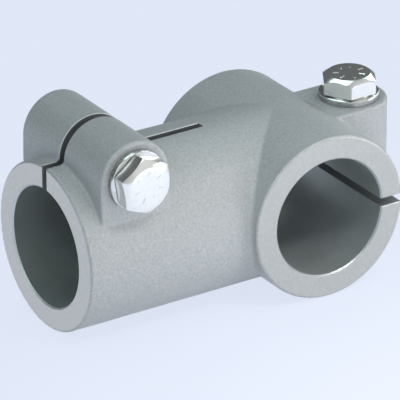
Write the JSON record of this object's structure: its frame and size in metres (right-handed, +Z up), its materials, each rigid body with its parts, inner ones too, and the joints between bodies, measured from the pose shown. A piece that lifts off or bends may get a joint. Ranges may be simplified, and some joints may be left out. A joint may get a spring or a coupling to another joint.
{
  "type": "angle tube clamp",
  "caption": "Cast aluminium tee clamp that joins two round tubes at right angles, each gripped by a slit socket with a cross bolt.",
  "frame": {"origin": "where the axes of the two sockets cross, at the middle of the cross bore", "axes": "+Y along the cross bore, -X out of the mouth of the stem bore, +Z up, the way the cross bolt's head points"},
  "size_m": [0.1285, 0.0639, 0.069],
  "materials": {
    "cast_aluminium": "shot-blasted casting, matt grey",
    "zinc_bolt": "bright zinc plated steel",
    "zinc_washer": "bright zinc plated steel",
    "zinc_nut": "bright zinc plated steel"
  },
  "bodies": {
    "root": {"clamp_body": "cast_aluminium", "stem_bolt": "zinc_bolt", "stem_washer": "zinc_washer", "stem_nut": "zinc_nut", "cross_bolt": "zinc_bolt", "cross_washer": "zinc_washer", "cross_nut": "zinc_nut"}
  },
  "joints": []
}
